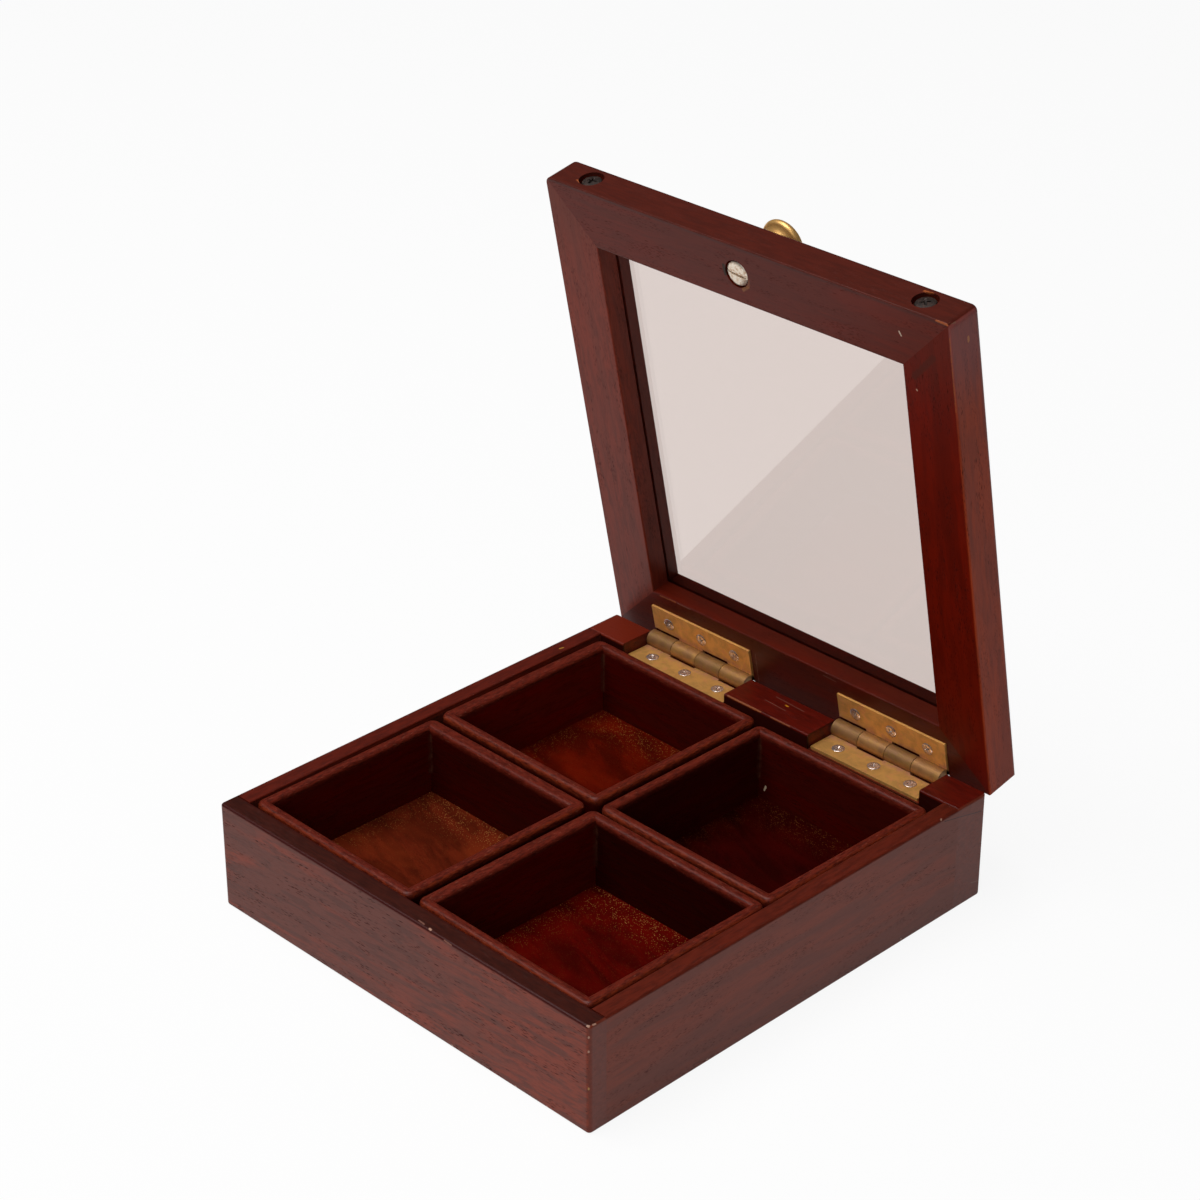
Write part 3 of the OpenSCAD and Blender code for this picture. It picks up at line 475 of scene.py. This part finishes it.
# ---------------------------------------------------------------- Hinges
# Two brass butt hinges. Each leaf is sheet brass, cut into knuckles that are rolled round the
# pin, and three holes in it are countersunk. Both leaves lie in mortises. Lightly tarnished.
def brass(name, yellow, red, rough, metal):
    """Tarnished brass, painted darker on the rolled knuckles to tone down the lamps' reflection in them,
    and dirty beside them, about the hinge pins.
    """
    material, shader, place = finish(name)
    clouds = place.noise(0.22, 4, 0.6, 0.5).step(0.35, 0.68)
    blush = place.noise(0.3, 3, 0.6, 1.0).step(0.52, 0.72)
    drawn = place.moved(scale=(0.12, 1, 1)).noise(5, 3, 0.6)
    specks = place.noise(2.2, 3, 0.6).step(0.62, 0.78)
    tone = clouds.mix(yellow, [shade * 0.78 for shade in yellow])
    tone = (blush * 0.55).mix(tone, red)
    tone = (specks * 0.5).mix(tone, [shade * 0.45 for shade in yellow])
    from_pin = place.moved(shift=(0, *-pin.yz / mm), scale=(0, 1, 1)).vector("LENGTH", out=1)
    dirty = from_pin.step(6.5, 3.6) * place.noise(0.5, 3).step(0.35, 0.6)
    tone = (dirty * 0.7).mix(tone, (0.62, 0.25, 0.17))
    # Painted shade: the rolled knuckles are made much darker, to tone down the lamps' reflection in them.
    shades = ([shade * share for shade in yellow] for share in (0.22, 0.36))
    tone = (from_pin.step(3.5, 3.3) * 0.8).mix(tone, clouds.mix(*shades))
    bump = place.add("Bump", {}, {"Strength": 0.15, "Distance": 0.00005, "Height": drawn + clouds * 0.5})
    feed(shader, Base_Color=tone, Roughness=drawn * 0.15 + clouds * 0.08 + rough, Metallic=metal,
         Normal=bump)
    return material


def edit_faces(piece, wanted):
    """Enters edit mode on a piece with only the wanted faces selected."""
    bpy.ops.object.select_all(action="DESELECT")
    bpy.context.view_layer.objects.active = piece
    piece.select_set(True)
    bpy.ops.object.mode_set(mode="EDIT")
    bpy.ops.mesh.select_mode(type="FACE")
    bpy.ops.mesh.select_all(action="DESELECT")
    bpy.ops.object.mode_set(mode="OBJECT")
    for face in piece.data.polygons:
        face.select = wanted(face)
    bpy.ops.object.mode_set(mode="EDIT")


def close_edit(angle=35):
    """Merges doubles, turns the faces outwards, leaves edit mode and smooths blunt edges."""
    bpy.ops.mesh.select_all(action="SELECT")
    bpy.ops.mesh.remove_doubles(threshold=0.000002)
    bpy.ops.mesh.normals_make_consistent(inside=False)
    bpy.ops.object.mode_set(mode="OBJECT")
    bpy.ops.object.shade_smooth_by_angle(angle=math.radians(angle))


def turned(name, profile, sides=48):
    """A solid turned about Z through (radius, height) pairs in millimetres, from end to end."""
    bpy.ops.object.select_all(action="DESELECT")
    (radius, height), *rest = profile
    bpy.ops.mesh.primitive_circle_add(
        vertices=sides, radius=radius * mm, fill_type="NGON", location=(0, 0, height * mm))
    piece = bpy.context.object
    piece.name = name
    bpy.ops.object.transform_apply(location=True, rotation=True, scale=True)
    bpy.ops.object.mode_set(mode="EDIT")
    bpy.ops.mesh.select_all(action="SELECT")
    for next_radius, next_height in rest:
        bpy.ops.mesh.extrude_region_move(
            TRANSFORM_OT_translate={"value": (0, 0, (next_height - height) * mm)})
        bpy.ops.transform.resize(value=(next_radius / radius, next_radius / radius, 1))
        radius, height = next_radius, next_height
    close_edit()
    return piece


def finish_edges(piece, width, segments=2, angle=35):
    bpy.context.view_layer.objects.active = piece
    bevel = piece.modifiers.new("edges", "BEVEL")
    bevel.width, bevel.segments, bevel.limit_method = width * mm, segments, "ANGLE"
    bevel.angle_limit = math.radians(angle)
    bpy.ops.object.modifier_apply(modifier="edges")
    bpy.ops.object.select_all(action="DESELECT")
    piece.select_set(True)
    bpy.ops.object.shade_smooth_by_angle(angle=math.radians(angle))


def cut(piece, cutter):
    """Takes the cutter's shape out of a piece and removes the cutter."""
    bpy.context.view_layer.objects.active = piece
    sink = piece.modifiers.new("sink", "BOOLEAN")
    sink.operation, sink.object, sink.solver = "DIFFERENCE", cutter, "EXACT"
    bpy.ops.object.modifier_apply(modifier="sink")
    bpy.data.objects.remove(cutter)


def placed(master, name, matrix, body, material, replaced=()):
    """A copy of a master piece with its own mesh, carried to its place on a body."""
    piece = master.copy()
    piece.data = master.data.copy()
    piece.name = name
    bpy.context.scene.collection.objects.link(piece)
    piece.data.transform(matrix)
    if matrix.determinant() < 0:
        piece.data.flip_normals()
    dress(piece, material)
    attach(piece, body)
    if replaced:
        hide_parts(*replaced)
    return piece


hinge_len, barrel_r, bore_r, leaf_t = 49.4, 3.2, 1.56, 1.2
leaf_back, leaf_root, leaf_reach = 3.3, 3.4, 13.8
leaf_face = leaf_back - leaf_t
hinge_x, screw_reach, screw_pitch = 46.1, 8.13, 16.6
pitch, gap = hinge_len / 4, 0.2
roll = math.radians(303)
head_r, shank_r, sink_depth = 2.4, 1.1, 1.04


def hinge_leaf(name, first):
    """A leaf about its pin's middle, below the pin, whose knuckles are every other one from first."""
    spans = []
    for i in (first, first + 2):
        start, end = i * pitch + (gap / 2 if i else 0), (i + 1) * pitch - (gap / 2 if i < 3 else 0)
        spans.append((start - hinge_len / 2, end - hinge_len / 2))
    bpy.ops.object.select_all(action="DESELECT")
    bpy.ops.mesh.primitive_cube_add(size=1)
    leaf = bpy.context.object
    leaf.name = name
    leaf.scale = (hinge_len * mm, (leaf_reach - leaf_root) * mm, leaf_t * mm)
    leaf.location = (0, -(leaf_reach + leaf_root) / 2 * mm, -(leaf_back + leaf_face) / 2 * mm)
    bpy.ops.object.transform_apply(location=True, rotation=True, scale=True)
    bpy.ops.object.mode_set(mode="EDIT")
    for x in sorted({x for span in spans for x in span}):
        if abs(x) < hinge_len / 2 - 0.01:
            bpy.ops.mesh.select_all(action="SELECT")
            bpy.ops.mesh.bisect(plane_co=(x * mm, 0, 0), plane_no=(1, 0, 0))
    bpy.ops.object.mode_set(mode="OBJECT")

    def root(face):
        middle = face.center.x / mm
        return face.normal.y > 0.9 and any(start < middle < end for start, end in spans)

    edit_faces(leaf, root)
    bpy.ops.mesh.extrude_region_move(TRANSFORM_OT_translate={"value": (0, 1.4 * mm, 0)})
    bpy.ops.mesh.extrude_region_move(TRANSFORM_OT_translate={"value": (0, (leaf_root - 1.4) * mm, 0)})
    strip_mid = -(barrel_r + bore_r) / 2
    bpy.ops.transform.translate(value=(0, 0, (strip_mid + (leaf_back + leaf_face) / 2) * mm))
    bpy.ops.transform.resize(value=(1, 1, (barrel_r - bore_r) / leaf_t))
    bpy.ops.mesh.spin(steps=28, angle=roll, center=(0, 0, 0), axis=(1, 0, 0))
    close_edit()
    for i in (-1, 0, 1):
        sink = turned("countersink", (
            (shank_r + 0.05, -leaf_back - 0.6), (shank_r + 0.05, -leaf_face - sink_depth),
            (head_r + 0.08, -leaf_face + 0.03), (head_r + 0.08, -leaf_face + 0.6)))
        sink.data.transform(Matrix.Translation((i * screw_pitch * mm, -screw_reach * mm, 0)))
        cut(leaf, sink)
    finish_edges(leaf, 0.14)
    return leaf


base_brass = brass("base_brass", (0.69, 0.36, 0.095), (0.74, 0.29, 0.13), 0.45, 0.40)
# The lid leaves' brass is painted lighter than the base leaves': painted light, for the reflection that the
# upright leaves catch less of.
lid_brass_lightened = brass("lid_brass_lightened", (0.95, 0.48, 0.125), (0.92, 0.37, 0.16), 0.42, 0.45)
base_master, lid_master = hinge_leaf("base_leaf_master", 0), hinge_leaf("lid_leaf_master", 1)
closed_over = Matrix.Diagonal((1, 1, -1, 1))
for side, x in (("left", -hinge_x), ("right", hinge_x)):
    at_pin = Matrix.Translation(pin + Vector((x * mm, 0, 0)))
    placed(base_master, f"{side}_base_leaf", at_pin, "base", base_brass,
           [f"{side}_hinge_base_leaf"])
    placed(lid_master, f"{side}_lid_leaf", lid_turn @ at_pin @ closed_over, "lid", lid_brass_lightened,
           [f"{side}_hinge_lid_leaf"])
    dress(nodes[f"{side}_hinge_pin"], base_brass)
for master in (base_master, lid_master):
    bpy.data.objects.remove(master)

# ---------------------------------------------------------------- Hinge screws
# Twelve countersunk steel screws with cross recesses, plated bright. The recess is struck with
# a tapered punch, and the head's rim stands a little proud of the brass.
def steel(name, bright, dull, rough, metal):
    material, shader, place = finish(name)
    stains = place.noise(0.9, 4, 0.6, 0.4).step(0.42, 0.7)
    feed(shader, Base_Color=stains.mix(bright, dull), Roughness=stains * 0.2 + rough, Metallic=metal)
    return material


def struck(piece, reach, width, depth, top):
    """Strikes a cross recess with tapered blades in the piece's top."""
    for turn in (0, 90):
        bpy.ops.object.select_all(action="DESELECT")
        bpy.ops.mesh.primitive_cube_add(size=1)
        blade = bpy.context.object
        blade.scale = (2 * reach * mm, width * mm, (depth + 0.5) * mm)
        blade.location = (0, 0, (top + (0.5 - depth) / 2) * mm)
        bpy.ops.object.transform_apply(location=True, rotation=True, scale=True)
        edit_faces(blade, lambda face: face.normal.z < -0.9)
        bpy.ops.transform.resize(value=(0.35, 0.5, 1))
        close_edit()
        blade.data.transform(Matrix.Rotation(math.radians(turn), 4, "Z"))
        cut(piece, blade)
    finish_edges(piece, 0.05, 1)


screw_master = turned("hinge_screw_master", (
    (0.15, -10), (shank_r, -7.8), (shank_r, -sink_depth), (head_r - 0.06, -0.05), (head_r, 0.06),
    (head_r - 0.14, 0.16), (head_r - 0.9, 0.22), (head_r - 1.7, 0.24)))
struck(screw_master, 1.5, 0.62, 0.95, 0.24)
screw_steel = steel("screw_steel", (0.86, 0.73, 0.66), (0.46, 0.29, 0.23), 0.24, 0.85)
for leaf, body, carry in (("base", "base", Matrix()), ("lid", "lid", lid_turn)):
    flip = closed_over if leaf == "lid" else Matrix()
    for number, (x, i) in enumerate((x, i) for x in (-hinge_x, hinge_x) for i in (-1, 0, 1)):
        seat = Matrix.Translation(pin + Vector((x + i * screw_pitch, -screw_reach, 0)) * mm)
        driven = seat @ flip @ Matrix.Translation((0, 0, -leaf_face * mm))
        driven = carry @ driven @ Matrix.Rotation(math.radians(45 + 23 * number), 4, "Z")
        placed(screw_master, f"{leaf}_leaf_screw_{number + 1}", driven, body, screw_steel,
               [f"hinge_{leaf}_screws"] if number == 0 else ())
bpy.data.objects.remove(screw_master)

# ---------------------------------------------------------------- Corner screws
# Two blackened pan-head screws, sunk in counterbores in the lid's front edge across the mitres.
corner_x, lid_shift, seat_y, corner_z = 74.3, 0.6, -92.5, rim_z + 7.55
corner_master = turned("corner_screw_master", (
    (0.2, -28), (1.75, -24.5), (1.75, 0), (3.75, 0), (3.8, 0.9), (3.4, 1.5), (2.4, 1.76), (1.0, 1.85)))
struck(corner_master, 2.3, 1.0, 1.4, 1.85)
corner_steel = steel("corner_steel", (0.022, 0.014, 0.011), (0.060, 0.030, 0.022), 0.5, 0.4)
for number, side in enumerate((-1, 1)):
    seat = Matrix.Translation(Vector((side * corner_x - lid_shift, seat_y, corner_z)) * mm)
    driven = lid_turn @ seat @ Matrix.Rotation(math.radians(90), 4, "X")
    driven = driven @ Matrix.Rotation(math.radians(12 + 30 * number), 4, "Z")
    placed(corner_master, f"corner_screw_{number + 1}", driven, "lid", corner_steel,
           ["lid_corner_screws"] if number == 0 else ())
bpy.data.objects.remove(corner_master)

# ---------------------------------------------------------------- Knob
# A knob turned from brass bar and polished: foot, waisted neck, flared underside, round rim and
# domed top. A slotted, domed screw through the lid holds it from the inside face.
knob_at = Vector((-1.4 - lid_shift, -83.9, rim_z + 14.8)) * mm
knob_profile = [(2.05, 7.1), (2.05, 0), (5.1, 0), (5.2, 0.1), (5.2, 1.05), (5.05, 1.2)]
knob_profile += [
    (4.45, 1.75), (4.1, 2.2), (4.0, 2.5), (4.1, 2.9), (4.5, 3.6), (5.3, 4.8), (6.3, 5.9), (7.25, 6.8)]
rim_r, rim_height = 1.5, 8.3
for step in range(-4, 6):
    swing = math.radians(step * 18)
    knob_profile.append((7.25 + rim_r * math.cos(swing), rim_height + rim_r * math.sin(swing)))
knob_profile += [(6.4, 10.35), (5.0, 10.9), (3.4, 11.33), (1.8, 11.55), (0.5, 11.6)]
knob_master = turned("knob_master", knob_profile, 64)
knob_brass = brass("knob_brass", (0.85, 0.49, 0.16), (0.80, 0.38, 0.12), 0.32, 0.65)
placed(knob_master, "turned_knob", lid_turn @ Matrix.Translation(knob_at), "lid",
       knob_brass, ["lid_knob"])
bpy.data.objects.remove(knob_master)

screw_recess = 1.2
holder_master = turned("knob_screw_master", (
    (1.7, -20.2), (2.0, -19.8), (2.0, 0), (4.4, 0), (4.5, 0.1), (4.5, 0.7), (4.3, 0.95), (3.5, 1.25),
    (2.4, 1.45), (1.1, 1.56)), 56)
bpy.ops.object.select_all(action="DESELECT")
bpy.ops.mesh.primitive_cube_add(size=1)
saw = bpy.context.object
saw.scale = (10 * mm, 0.95 * mm, 1.6 * mm)
saw.location = (0, 0, 1.6 * mm)
bpy.ops.object.transform_apply(location=True, rotation=True, scale=True)
edit_faces(saw, lambda face: face.normal.z < -0.9)
bpy.ops.transform.resize(value=(1, 0.85, 1))
close_edit()
cut(holder_master, saw)
finish_edges(holder_master, 0.06, 1)
holder_steel = steel("holder_steel", (0.84, 0.73, 0.60), (0.58, 0.36, 0.22), 0.30, 0.6)
seat = Matrix.Translation(Vector((-1.4 - lid_shift, -83.9, rim_z + 0.3 + screw_recess)) * mm)
driven = lid_turn @ seat @ closed_over @ Matrix.Rotation(math.radians(6.5), 4, "Z")
placed(holder_master, "knob_holding_screw", driven, "lid", holder_steel, ["knob_screw"])
bpy.data.objects.remove(holder_master)

# ---------------------------------------------------------------- Size and close
low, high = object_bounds()
{"cad": [list(cad_low), list(cad_high)], "dressed": [list(low), list(high)]}
